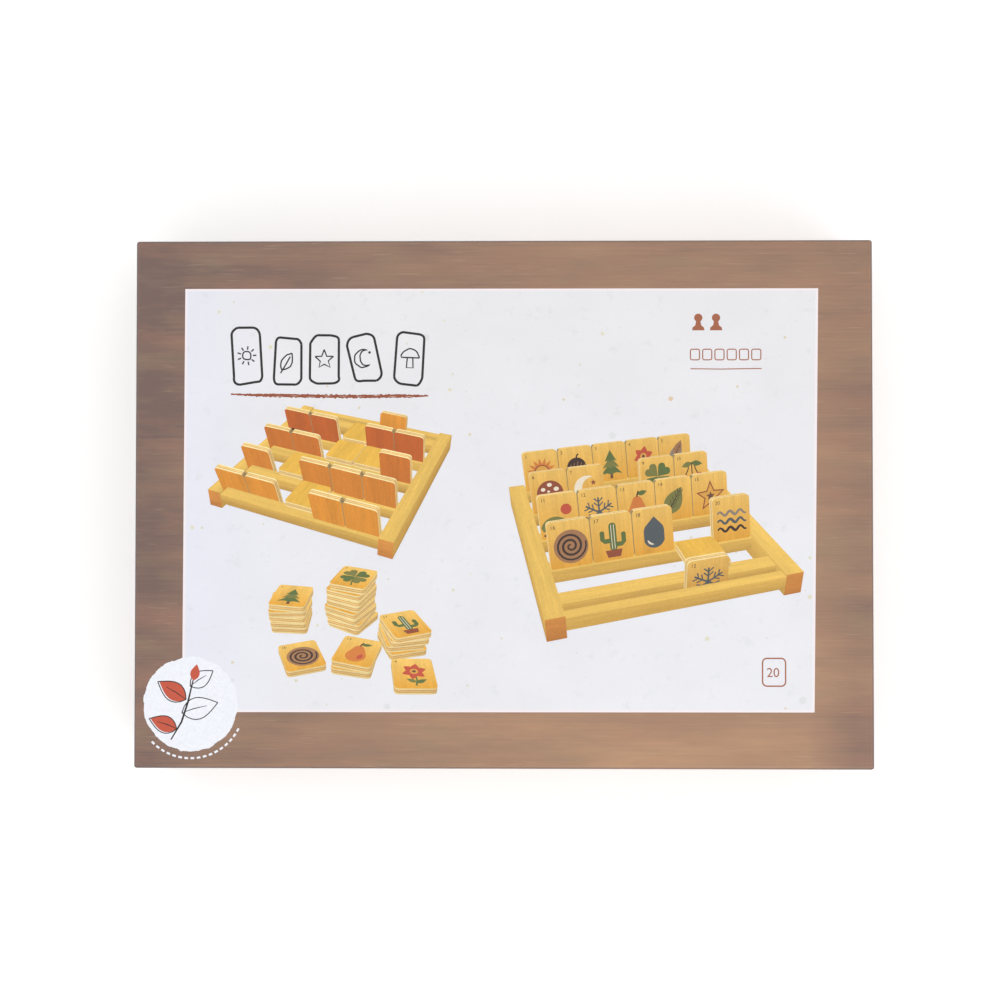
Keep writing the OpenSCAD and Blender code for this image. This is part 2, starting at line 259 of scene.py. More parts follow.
def printed_wood():
    """Laminated paper printed with brown wood, whose streaks run along the box and fold down its sides."""
    look = Look("wrap_printed_wood")
    x, y, z = look.place.parts()
    normal_x, normal_y, normal_z = look.normal.parts()
    sheet = (x + z * (abs(normal_x) > FACING)).join(y + z * (abs(normal_y) > FACING), 0.0)

    tone = sheet.noise((0.006, 0.03, 1), 3)
    cloud = sheet.noise((0.02, 0.09, 1), 4, 0.6)
    streak = sheet.noise((0.012, 0.75, 1), 5, 0.6)
    fibre = sheet.noise((0.09, 3.2, 1), 2)
    pale_dash = sheet.noise((0.055, 0.9, 3), 1).fit(0.66, 0.74)
    dark_dash = sheet.moved((71, 33, 0)).noise((0.04, 1.1, 3), 1).fit(0.66, 0.76)

    # Painted light and shade: the colour brightens to the right and to the near side, and dims again at the
    # left and right edges.
    half_w, half_d = LID_HIGH.x, LID_HIGH.y
    light = x.fit(-half_w, half_w / 3, 0, 0.48) + y.fit(half_d, -half_d, 0, 0.23)
    light += x.fit(-0.84 * half_w, -0.95 * half_w, 0, -0.13)
    light += x.fit(0.82 * half_w, 0.95 * half_w) * y.fit(half_d, -half_d, -0.12, -0.40)
    # The print's own tone, clouds, streaks and fibres vary the colour further.
    light += tone.fit(0.3, 0.7, -0.13, 0.22) + cloud.fit(0.25, 0.75, -0.12, 0.12)
    light += streak.fit(0.25, 0.75, -0.10, 0.10) + fibre.fit(0.25, 0.75, -0.05, 0.05)
    colour = light.mix(srgb(116, 93, 85), srgb(187, 145, 112))
    hue = sheet.moved((15, 92, 0)).noise((0.014, 0.05, 1), 4, 0.6)
    colour = hue.fit(0.52, 0.70, 0, 0.5).mix(colour, srgb(162, 118, 98))
    colour = hue.fit(0.46, 0.32, 0, 0.4).mix(colour, srgb(146, 126, 100))
    colour = (pale_dash * 0.15).mix(colour, srgb(214, 184, 154))
    colour = (dark_dash * 0.12).mix(colour, srgb(88, 64, 54))

    # Rubbed edges: the paper's pale core shows in places along the folds.
    folds = abs(x).fit(half_w - 1.6, half_w - 0.3) + abs(y).fit(half_d - 1.6, half_d - 0.3)
    folds += z.fit(LID_HIGH.z - 2.6, LID_HIGH.z - 0.6)
    worn = folds.fit(1.3, 1.9) * look.place.noise(0.35, 6, 0.7).fit(0.58, 0.70)
    colour = (worn * 0.55).mix(colour, srgb(206, 190, 174))

    # Painted shade: the crease round the top is darkened, as it takes the light less.
    rim = abs(x).fit(half_w - 1.3, half_w - 0.3).calc("MAXIMUM", abs(y).fit(half_d - 1.3, half_d - 0.3))
    colour = (rim * normal_z.fit(0.2, 0.5) * 0.8).mix(colour, srgb(72, 56, 54))

    look.bump(look.place.noise(PAPER_GRAIN, 3) + streak * 0.4, PAPER_RELIEF)
    return look.finish(colour, cloud.fit(0.3, 0.7, 0.40, 0.50) + worn * 0.3, **LAMINATE)


def panel_paper():
    """The pale field of the lid's print: bluish white, speckled and smudged like handmade paper."""
    look = Look("panel_paper")
    x, y, _ = look.place.parts()
    sheet = x.join(y, 0.0)
    cloud = sheet.noise((0.02, 0.025, 1), 4)
    smudge = sheet.moved((40, 7, 0)).noise((0.12, 0.12, 1), 5, 0.7)
    fibre = sheet.noise((0.9, 0.9, 1), 4, 0.7)
    colour = y.fit(110, -30).mix(srgb(232, 231, 234), srgb(233, 233, 238))
    colour = x.fit(-165, -110, 0.6, 0).mix(colour, srgb(229, 231, 245))
    colour = cloud.fit(0.35, 0.65, 0.98, 1.015).shade(colour)
    colour = (smudge.fit(0.58, 0.72) * 0.45).mix(colour, srgb(214, 216, 218))
    colour = fibre.fit(0.3, 0.7, 0.985, 1.01).shade(colour)
    for cell, share, radius, strength, tint in (
            (13, 0.55, 1.3, 0.70, srgb(220, 214, 170)),
            (8, 0.50, 0.95, 0.70, srgb(214, 198, 158)),
            (19, 0.55, 2.2, 0.40, srgb(206, 210, 208)),
            (29, 0.60, 1.6, 0.75, srgb(222, 188, 132)),
            (5.5, 0.35, 0.36, 0.6, srgb(184, 166, 142))):
        ragged = sheet.moved((fibre * 1.6).join(smudge * 1.6, cell))
        colour = (ragged.dots(cell, share, radius) * strength).mix(colour, tint)

    # A whiter line runs round the panel.
    (x0, y0), (x1, y1), (x2, y2), (x3, y3) = PANEL
    from_sides = (x - y.fit(y0, y3, x0, x3)).calc("MINIMUM", y.fit(y1, y2, x1, x2) - x)
    from_ends = (y - x.fit(x0, x1, y0, y1)).calc("MINIMUM", x.fit(x3, x2, y3, y2) - y)
    inset = from_sides.calc("MINIMUM", from_ends)
    colour = inset.fit(0.5, 1.6, 0.8, 0).mix(colour, srgb(250, 238, 240))
    return look.laminated(colour, cloud)


def printing_ink():
    """Ink of any colour: each point has its tint, and grain places stretch fine lines along drawn timber."""
    look = Look("printing_ink")
    grain = look.attribute("grain")
    lines = grain.noise(1.0, 4, 0.6).fit(0.25, 0.75, 0.88, 1.09)
    broad = grain.noise(0.13, 2).fit(0.3, 0.7, 0.90, 1.08)
    mottle = look.place.noise(0.8, 5, 0.65)
    colour = mottle.fit(0.25, 0.75, 0.92, 1.07).shade((lines * broad).shade(look.attribute("tint")))
    return look.laminated(colour, mottle)


def greyboard():
    """Recycled board, with pressed fibres and flecks of old paper in it."""
    look = Look("greyboard")
    fibre = look.place.noise((0.5, 1.6, 1.6), 5, 0.7)
    colour = fibre.fit(0.3, 0.7).mix(srgb(160, 152, 140), srgb(190, 183, 171))
    colour = look.place.noise(0.03, 4).fit(0.3, 0.7, 0.94, 1.05).shade(colour)
    for cell, share, radius, tint in ((6, 0.35, 0.5, srgb(96, 86, 78)), (8, 0.4, 0.7, srgb(222, 216, 206)),
                                      (11, 0.2, 0.5, srgb(112, 120, 140))):
        fleck = look.place.moved((cell, 0, 0)).scaled((0.6, 1.3, 1)).dots(cell, share, radius)
        colour = (fleck * 0.6).mix(colour, tint)
    look.bump(fibre, 0.10)
    return look.finish(colour, fibre.fit(0.3, 0.7, 0.84, 0.95))


def leaflet_paper():
    """Uncoated offset paper with a faint fibre."""
    look = Look("leaflet_paper")
    fibre = look.place.noise(1.1, 5, 0.7)
    colour = fibre.fit(0.3, 0.7).mix(srgb(232, 228, 218), srgb(243, 240, 232))
    colour = look.place.noise(0.03, 3).fit(0.3, 0.7, 0.96, 1.02).shade(colour)
    look.bump(fibre, 0.03)
    return look.finish(colour, fibre.fit(0.3, 0.7, 0.72, 0.84))


def timber(name, axis, pith):
    """Solid wood with its grain along an axis, 0 to 2, and its rings round a line through the pith."""
    look = Look(name)
    ring_width = 2.6
    local = look.place.moved([-c for c in pith])
    first, second = [part for side, part in enumerate(local.parts()) if side != axis]
    distance = (abs(first).calc("POWER", 2.0) + abs(second).calc("POWER", 2.0)).calc("SQRT")
    drawn_out = local.scaled([0.03 if side == axis else 1.0 for side in range(3)])
    rings = distance + local.noise(0.012, 2) * 9.0 + drawn_out.noise(0.22, 3) * ring_width
    phase = (rings / ring_width).calc("FRACT")
    late_wood = phase.fit(0.35, 0.93) * phase.fit(1.0, 0.94)
    fibre = drawn_out.noise(2.6, 4, 0.6)
    pores = drawn_out.noise(5.0, 1).fit(0.66, 0.76)
    colour = fibre.fit(0.25, 0.75, 0.88, 1.08).shade((late_wood * 0.62).mix(PALE_TIMBER, DARK_TIMBER))
    colour = (pores * 0.35).mix(colour, srgb(132, 84, 46))
    sawn_end = abs(look.normal.parts()[axis]) > FACING
    colour = (sawn_end * 0.42).mix(colour, srgb(176, 116, 62))
    look.bump(fibre - late_wood * 0.4, 0.06)
    return look.finish(colour, fibre.fit(0.3, 0.7, 0.42, 0.58), Coat_Weight=0.08, Coat_Roughness=0.35)


def plywood(name, bottom, seed):
    """Three-ply tiles stacked from that height: figured veneer above and below, plies at the edge."""
    look = Look(name)
    local = look.place.moved((31.0 * seed, 17.0 * seed, 0))
    x, y, z = local.parts()
    height = z - bottom
    layer = (height / TILE_STEP).calc("FLOOR")
    level = (height - layer * TILE_STEP) / TILE_T
    sheet = x.join(y, layer * 41.0)

    swirl = sheet.noise((0.035, 0.012, 1), 2)
    figure = ((x * 0.012 + swirl) * 11.0).calc("FRACT")
    line = figure.fit(0.3, 0.92) * figure.fit(1.0, 0.93)
    fibre = sheet.noise((3.2, 0.10, 1), 4, 0.6)
    fleck = sheet.noise((4.0, 0.28, 1), 1).fit(0.67, 0.75)
    veneer = (line * 0.42).mix(srgb(237, 194, 114), srgb(206, 148, 78))
    veneer = fibre.fit(0.25, 0.75, 0.90, 1.07).shade(veneer)
    veneer = (fleck * 0.35).mix(veneer, srgb(150, 100, 56))

    core_half = 0.18
    ragged = local.noise((0.7, 0.7, 0.2), 3)
    from_core = abs(level + ragged.fit(0.3, 0.7, -0.012, 0.012) - 0.5)
    glue = abs(from_core - core_half).fit(0.012, 0.026, 1, 0)
    long_ply = local.noise((0.25, 0.25, 4.5), 3).fit(0.25, 0.75, 0.90, 1.06).shade(srgb(242, 212, 152))
    core_ply = local.noise((3.6, 3.6, 2.4), 3).fit(0.25, 0.75, 0.78, 1.12).shade(srgb(222, 178, 114))
    edge = (glue * 0.85).mix((from_core < core_half).mix(long_ply, core_ply), srgb(128, 82, 44))

    on_face = abs(look.normal.parts()[2]).fit(0.55, 0.85)
    look.bump(fibre - (glue + fleck) * 0.5, 0.05)
    roughness = fibre.fit(0.3, 0.7, 0.36, 0.48) + (1.0 - on_face) * 0.22
    return look.finish(on_face.mix(edge, veneer), roughness, Coat_Weight=0.15, Coat_Roughness=0.25)


def screw_steel():
    """Zinc-plated steel, finely grained and dulled in patches."""
    look = Look("screw_steel")
    grain = look.place.noise(6, 3)
    colour = look.place.noise(0.7, 4).fit(0.4, 0.65).mix(srgb(196, 192, 182), srgb(158, 150, 138))
    look.bump(grain, 0.03)
    return look.finish(colour, grain.fit(0.3, 0.7, 0.26, 0.44), Metallic=1.0)


# ---------------- outlines, in millimetres

def shifted(outline, x, y, size=1.0, tilt=0):
    """The outline grown, turned and moved."""
    turn = math.radians(tilt)
    return [(x + size * (u * math.cos(turn) - v * math.sin(turn)),
             y + size * (u * math.sin(turn) + v * math.cos(turn))) for u, v in outline]


def ellipse(x, y, wide, high, steps=28, tilt=0):
    """A closed oval with those half axes."""
    angles = [math.tau * step / steps for step in range(steps)]
    return shifted([(wide * math.cos(angle), high * math.sin(angle)) for angle in angles], x, y, tilt=tilt)


def arc(x, y, radius, start, end, steps=16):
    """Points on a round stretch, from one angle to the other in degrees."""
    angles = [math.radians(start + (end - start) * step / steps) for step in range(steps + 1)]
    return [(x + radius * math.cos(angle), y + radius * math.sin(angle)) for angle in angles]


def rounded(x0, y0, x1, y1, radius, steps=4):
    """A rectangle with round corners, anticlockwise from its lower right corner."""
    left, right, low, high = x0 + radius, x1 - radius, y0 + radius, y1 - radius
    outline = []
    for turn, (x, y) in enumerate(((right, low), (right, high), (left, high), (left, low))):
        outline += arc(x, y, radius, 90 * turn - 90, 90 * turn, steps)
    return outline


def petal(x, y, length, wide, angle):
    """A leaf shape, fullest before its middle, that grows from a point at that angle."""
    parts = [step / 9 for step in range(10)]
    edge = [(length * part, wide / 2 * math.sin(math.pi * part ** 0.8)) for part in parts]
    return shifted([(u, -v) for u, v in edge] + edge[-2:0:-1], x, y, tilt=angle)


def stroke(points, width, taper=0.0):
    """A line of that width through the points. A taper of 1 brings its ends to nothing."""
    right, left = [], []
    last = len(points) - 1
    for index, (x, y) in enumerate(points):
        before, after = points[max(index - 1, 0)], points[min(index + 1, last)]
        along = Vector((after[0] - before[0], after[1] - before[1])).normalized()
        reach = width / 2 * (1 - taper * (1 - math.sin(math.pi * index / last)))
        right.append((x + along.y * reach, y - along.x * reach))
        left.append((x - along.y * reach, y + along.x * reach))
    return right + left[::-1]


def drawn_loop(loop, width, tint):
    """A closed line, as four strokes that each end where the next begins, with their tint."""
    closed = loop + loop[:1]
    cuts = [round(quarter * (len(closed) - 1) / 4) for quarter in range(5)]
    return [(stroke(closed[start:end + 1], width), tint) for start, end in zip(cuts, cuts[1:])]


def star(x, y, outer, inner):
    """A five-pointed star with a point at its top."""
    outline = []
    for step in range(10):
        radius = inner if step % 2 else outer
        angle = math.radians(90 + 36 * step)
        outline.append((x + radius * math.cos(angle), y + radius * math.sin(angle)))
    return outline


def number_shape(text, size, x, y, tint):
    """A plain number in Blender's own letters, from its lower left: its points, tint and triangles."""
    curve = bpy.data.curves.new("number", "FONT")
    curve.body = text
    curve.size = size
    holder = bpy.data.objects.new("number", curve)
    mesh = holder.to_mesh()
    points = [(x + vertex.co.x, y + vertex.co.y) for vertex in mesh.vertices]
    triangles = [list(face.vertices) for face in mesh.polygons]
    holder.to_mesh_clear()
    bpy.data.objects.remove(holder)
    bpy.data.curves.remove(curve)
    return points, tint, triangles


# ---------------- motifs on the tiles, about their middle

def sun_motif():
    rays = [(petal(0, 0, 16.5, 4.4, angle), ORANGE) for angle in range(0, 360, 24)]
    return rays + [(ellipse(0, 0, 8.6, 8.6), RUST), (ellipse(0, 0, 7.4, 7.4), AMBER)]


def leaf_motif():
    shapes = [(petal(-9, -13, 32, 19, 58), OLIVE),
              (stroke([(-12, -17), (-4, -5), (7, 12)], 1.3, 0.6), UMBER)]
    for step in range(5):
        x, y = -6 + 2.6 * step, -8 + 4.0 * step
        for vein in ([(x + 4.5, y + 2.2), (x + 7 - step * 0.6, y + 5)],
                     [(x - 1, y + 4), (x - 0.4, y + 7.4 - step * 0.6)]):
            shapes.append((stroke([(x, y)] + vein, 0.8, 0.8), UMBER))
    return shapes


def flower_motif():
    stem = [(stroke([(0, -17), (1.5, -9), (0, 2)], 1.6), LEAF), (petal(0.6, -13, 11, 5, 28), LEAF),
            (petal(0.6, -12, 10, 5, 150), OLIVE)]
    petals = [(petal(0, 4, 12, 8, angle), TERRACOTTA) for angle in range(18, 378, 60)]
    return stem + petals + [(ellipse(0, 4, 3.8, 3.8), AMBER), (ellipse(0, 4, 1.8, 1.8), BROWN)]


def mushroom_motif():
    cap = arc(0, 0, 14, 4, 176, 20) + [(-13, -2), (0, -3.6), (13, -2)]
    stem = [(-3.6, -1), (-4.4, -15), (-2, -17), (2, -17), (4.4, -15), (3.6, -1)]
    spots = [(ellipse(x, y, size, size * 0.8, 14), CREAM) for x, y, size in
             ((-7, 5, 2.4), (0, 9.4, 2.6), (6.6, 4.4, 2.8), (-1.6, 2.4, 1.5))]
    return [(stem, CREAM), (cap, RUST)] + spots


def fir_motif():
    shapes = [([(-1.8, -17), (1.8, -17), (1.4, -9), (-1.4, -9)], BROWN)]
    for base, top, half, tint in ((-12, 2, 12.5, LEAF), (-4.5, 9, 9.8, OLIVE), (3, 16, 7, LEAF)):
        shapes.append(([(-half, base), (-half * 0.4, base + 1.4), (0, base - 0.6), (half * 0.4, base + 1.4),
                        (half, base), (0, top)], tint))
    return shapes


def moon_motif():
    crescent = arc(0, 0, 14, 62, 298, 26) + arc(6.4, 0, 12.2, 282, 78, 22)
    return [(crescent, CREAM), (star(7, 6, 3.4, 1.4), RUST), (star(9, -6, 2.4, 1.0), RUST)]


def acorn_motif():
    nut = arc(0, -3, 9, 180, 360, 18) + [(9, 2), (-9, 2)]
    cap = arc(0, 1, 11, 0, 180, 18) + [(-10, -2), (10, -2)]
    hatch = [(stroke([(x, 0), (x + 2, 7.5 - abs(x) * 0.4)], 0.7), TAN) for x in range(-8, 9, 4)]
    return [(petal(0, -10, 5.4, 3, -90), BROWN), (nut, ORANGE),
            (stroke([(-4.5, -9), (-5.4, -3)], 1.2, 0.8), CREAM), (cap, UMBER), *hatch,
            (stroke([(0, 11), (1, 14), (3, 16)], 1.6), UMBER)]


def drop_motif():
    outline = arc(0, -4, 10.5, 200, 340, 18) + arc(-2, 1, 12, 0, 30, 4)
    outline += [(0.6, 16)] + arc(2, 1, 12, 150, 180, 4)
    return [(outline, SLATE), (stroke(arc(0, -4, 7, 200, 262, 8), 1.8, 0.7), CREAM)]


def hills_motif():
    far = [(-17, -12)] + arc(-5, -13, 15, 160, 20, 14) + [(17, -12)]
    near = [(-17, -17), (17, -17), (17, -9)] + arc(9, -19, 13, 52, 150, 12) + [(-17, -15)]
    return [(ellipse(7, 8, 5.4, 5.4), TERRACOTTA), (far, OLIVE), (near, BROWN)]


def clover_motif():
    shapes = [(stroke([(3, -17), (0.6, -9), (0, 1)], 1.6), LEAF)]
    for turn, tint in ((45, LEAF), (135, OLIVE), (225, LEAF), (315, OLIVE)):
        middle = shifted([(8.6, 0)], 0, 3, tilt=turn)[0]
        shapes.append((shifted(heart_outline(), *middle, 0.56, turn - 90), tint))
    return shapes


def snow_motif():
    shapes = []
    for tilt in range(30, 390, 60):
        arm = [stroke([(0, 0), (15, 0)], 1.7)]
        arm += [stroke([(reach + 4, 4.4), (reach, 0), (reach + 4, -4.4)], 1.4) for reach in (6, 10.4)]
        shapes += [(shifted(line, 0, 0, tilt=tilt), SLATE) for line in arm]
    return shapes + [(ellipse(0, 0, 2.4, 2.4, 18), SLATE)]


def spiral_motif():
    turns = [(0.27 * step * math.cos(step * 0.36), 0.27 * step * math.sin(step * 0.36))
             for step in range(4, 54)]
    return [(ellipse(0.4, -0.4, 15.8, 15.8, 40), TAN), (stroke(turns, 2.2, 0.3), UMBER)]


def pear_motif():
    body = arc(0, -6, 10, 170, 370, 20) + arc(0, 5.6, 5.2, 20, 160, 10)
    return [(body, ORANGE), (ellipse(4.4, -7, 2.6, 4.2, 16, -14), TERRACOTTA),
            (stroke([(0, 10), (0.6, 13), (2, 16)], 1.5), UMBER), (petal(1, 12.6, 10, 5, 12), LEAF)]


def boat_motif():
    hull = [(-15, -7), (15, -7)] + arc(2, -7, 12.4, -8, -100, 10) + [(-9, -16)]
    return [([(-1, -4.6), (-1, 15.6), (-13, -4.6)], TERRACOTTA), ([(1, -4.6), (1, 12), (10.6, -4.6)], CREAM),
            (stroke([(0, -7), (0, 16)], 1.3), UMBER), (hull, BROWN)]


def feather_motif():
    shapes = [(petal(-6, -10, 30, 14, 62), STONE), (petal(-1.6, 0, 20, 9, 62), TAN)]
    for step in range(4):
        x, y = -3.6 + 2.5 * step, -5 + 4.6 * step
        for barb in ((x - 2.6, y + 4.4), (x + 4.6, y + 1.8)):
            shapes.append((stroke([(x, y), barb], 0.6, 0.6), UMBER))
    return shapes + [(stroke([(-10, -17), (-3, -4), (7.2, 14)], 1.2, 0.5), UMBER)]


def berries_motif():
    shapes = [(stroke([(x / 3, 14), (x / 2, 6), (x, -2)], 1.2), UMBER) for x in (-8.4, 0.4, 8.6)]
    for x, y in ((-8.4, -5), (0.4, -10), (8.6, -4)):
        shapes += [(ellipse(x, y, 5.6, 5.8), TERRACOTTA),
                   (ellipse(x - 1.8, y + 2.1, 1.5, 1.1, 12, 30), CREAM)]
    return shapes + [(petal(0, 13, 13, 6, -10), LEAF), (petal(0, 13, 12, 6, 196), OLIVE)]


def cactus_motif():
    left = stroke([(-1, -1), (-8, -1), (-10, 1), (-10, 7)], 4.4)
    right = stroke([(1, -5), (8, -5), (10, -3), (10, 4)], 4.4)
    trunk = rounded(-3.4, -11, 3.4, 16, 3.3, 6)
    green = (left, ellipse(-10, 7, 2.2, 2.2, 12), right, ellipse(10, 4, 2.2, 2.2, 12), trunk)
    ribs = [(stroke([(x, -9), (x, 14)], 0.6), CREAM) for x in (-1.3, 1.3)]
    return [(shape, LEAF) for shape in green] + ribs + [([(-8, -10), (-6, -17), (6, -17), (8, -10)], RUST)]


def heart_outline():
    return [(0, -15)] + arc(6.6, 4, 7.4, -38, 152, 18) + arc(-6.6, 4, 7.4, 28, 218, 18)


def heart_motif():
    return [(heart_outline(), TERRACOTTA), (stroke(arc(-6.4, 4, 4.4, 100, 190, 8), 1.5, 0.6), CREAM)]


def star_motif():
    return [(star(0, 0, 16.6, 7.4), RUST), (star(0, 0, 13.4, 5.9), AMBER), (star(0, 0, 5, 2.3), BROWN)]


def waves_motif():
    shapes = []
    for level, tint in ((8, STONE), (0, SLATE), (-8, UMBER)):
        crest = [(-15 + step, level + 2.0 * math.sin(step * 0.6)) for step in range(31)]
        shapes.append((stroke(crest, 2.8, 0.4), tint))
    return shapes


MOTIFS = (sun_motif(), acorn_motif(), fir_motif(), flower_motif(), feather_motif(),
          mushroom_motif(), moon_motif(), boat_motif(), clover_motif(), berries_motif(),
          hills_motif(), snow_motif(), pear_motif(), leaf_motif(), star_motif(),
          spiral_motif(), cactus_motif(), drop_motif(), heart_motif(), waves_motif())
NUMBER_SIZE = 5.2
NUMBER_FOOT = 3.2 + 0.7 * NUMBER_SIZE


def tile_picture(number):
    """The shapes on a tile's face, from its middle: a motif, and a small number in the upper left corner."""
    shapes = [(shifted(outline, 0.6, -1.6, 1.04), tint) for outline, tint in MOTIFS[number - 1]]
    left, foot = 3.0 - TILE_W / 2, TILE_H / 2 - NUMBER_FOOT
    return shapes + [number_shape(str(number), NUMBER_SIZE, left, foot, UMBER)]


TILE_PICTURES = [tile_picture(number) for number in range(1, len(MOTIFS) + 1)]


# ---------------- print

INK = printing_ink()
BAKE_BORDER = 0.01


def placed(name, data):
    """A new object in the scene."""
    thing = bpy.data.objects.new(name, data)
    bpy.context.scene.collection.objects.link(thing)
    return thing


class Print:
    """Thin closed slabs of ink in one mesh, tinted point by point, with a bake map as the print lies."""

    def __init__(self):
        self.points, self.faces = [], []
        self.tints, self.grains, self.flats = [], [], []

    def slab(self, outline, place, rise, tints, grains=None, fill=None):
        """A slab over the outline, up to that rise. place gives the point at (u, v) and a height.

        The outline is one ring, or fill says which of its points make each face. Grains are places in drawn
        timber.
        """
        first, count = len(self.points), len(outline)
        self.points += [place(u, v, height) for height in (-INK_IN, rise) for u, v in outline]
        self.tints += tints * 2
        self.flats += outline * 2
        self.grains += (grains or [(0, 0, 0)] * count) * 2
        fill = fill or [list(range(count))]
        edges = [edge for face in fill for edge in zip(face, face[1:] + face[:1])]
        inner = {(after, before) for before, after in edges}
        self.faces += [[first + index for index in reversed(face)] for face in fill]
        for before, after in edges:
            if (before, after) not in inner:
                wall = (before, after, count + after, count + before)
                self.faces.append([first + index for index in wall])
        self.faces += [[first + count + index for index in face] for face in fill]

    def shapes(self, shapes, place):
        """Lays shapes over each other."""
        for (outline, tint, *fill), rise in zip(shapes, rises(shapes)):
            self.slab(outline, place, INK_UP + rise, [tint[:3]] * len(outline), None, *fill)

    def piece(self, name, body, slot, material=INK):
        """Makes the mesh and lets it ride on its body."""
        mesh = bpy.data.meshes.new(name)
        mesh.from_pydata([tuple(MM * c for c in point) for point in self.points], [], self.faces)
        shape = bmesh.new()
        shape.from_mesh(mesh)
        bmesh.ops.recalc_face_normals(shape, faces=shape.faces)
        shape.to_mesh(mesh)
        shape.free()
        for label, values in (("tint", self.tints), ("grain", self.grains)):
            layer = mesh.attributes.new(label, "FLOAT_VECTOR", "POINT")
            layer.data.foreach_set("vector", [c for value in values for c in value])
        self.add_map(mesh)
        mesh.materials.append(material)
        piece = placed(name, mesh)
        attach(piece, body)

    def add_map(self, mesh):
        """The bake map: the print as it lies, fitted into the unit square with a thin border."""
        spans = [span(self.flats, axis) for axis in (0, 1)]
        size = max(high - low for low, high in spans)
        layer = mesh.uv_layers.new(name="OFBake")
        for loop in mesh.loops:
            flat = self.flats[loop.vertex_index]
            layer.data[loop.index].uv = [BAKE_BORDER + (1 - 2 * BAKE_BORDER) * (at - low) / size
                                         for at, (low, _) in zip(flat, spans)]


def span(places, axis):
    """The least and the most of the places along that axis."""
    return min(place[axis] for place in places), max(place[axis] for place in places)


def rises(shapes):
    """How far each shape stands over the first, so that it lies on every earlier shape that it may touch."""
    boxes, heights = [], []
    for outline, tint, *_ in shapes:
        left, right = span(outline, 0)
        low, high = span(outline, 1)
        height = 0
        for (x0, x1, y0, y1, other), under in zip(boxes, heights):
            if left < x1 and right > x0 and low < y1 and high > y0:
                height = max(height, under + (INK_HAIR if other == tint else INK_STEP))
        boxes.append((left, right, low, high, tint))
        heights.append(height)
    return heights


def area(outline):
    """The area inside an outline, negative if it runs clockwise."""
    return sum(x0 * y1 - x1 * y0 for (x0, y0), (x1, y1) in zip(outline, outline[1:] + outline[:1])) / 2


def on_lid(u, v, rise):
    return (u, v, LID_HIGH.z + rise)


def on_panel(u, v, rise):
    return (u, v, LID_HIGH.z + PANEL_UP + rise)


# ---------------- small scenes drawn in perspective

# A solid's rise over what it hides, and the share of a print's own rises that it keeps in a picture.
SOLID_STEP, DRAWN_RISE = 0.004, 0.4
# Solids that sink into each other by no more than this count as apart: a tile's foot stands in a groove.
SUNK = 2
# A face smaller than this in its picture, in square millimetres, is left out, unless it is a number.
SLIVER = 0.004
SHADE, SUNLIGHT = 0.74, 0.30
FOOT_SHADE, FOOT_SHADE_HEIGHT = 0.30, 22
EDGE_FOOT_SHADE, INNER_SHADE, GAP_SHADE = 0.12, 0.62, 0.40
# Shade is warm: it dims red, green and blue by these powers of the light.
WARMTH = (0.85, 1.1, 1.4)
PLIES = ((0, 0.29, PLY_EDGE), (0.29, 0.35, GLUE_LINE), (0.35, 0.65, PLY_CORE), (0.65, 0.71, GLUE_LINE),
         (0.71, 1, PLY_EDGE))


def blended(first, second, part):
    """The colour that lies that part of the way from the first to the second."""
    return [a + (b - a) * part for a, b in zip(first[:3], second[:3])]


class Solid:
    """A block in a picture: its corners, a point and normal for each side, and faces turned to the eye."""

    def __init__(self, middle, axes, halves, seen):
        sides = [axis * half for axis, half in zip(axes, halves)]
        self.corners = [middle + a * sides[0] + b * sides[1] + c * sides[2]
                        for a in (-1, 1) for b in (-1, 1) for c in (-1, 1)]
        self.planes = [(middle + way * side, way * axis)
                       for side, axis in zip(sides, axes) for way in (-1, 1)]
        places = [seen(corner) for corner in self.corners]
        self.view = span(places, 0) + span(places, 1)
        self.faces = []
        self.rise = 0

    def top(self):
        return self.rise + SOLID_STEP + max((lift for *_, lift, _ in self.faces), default=0)


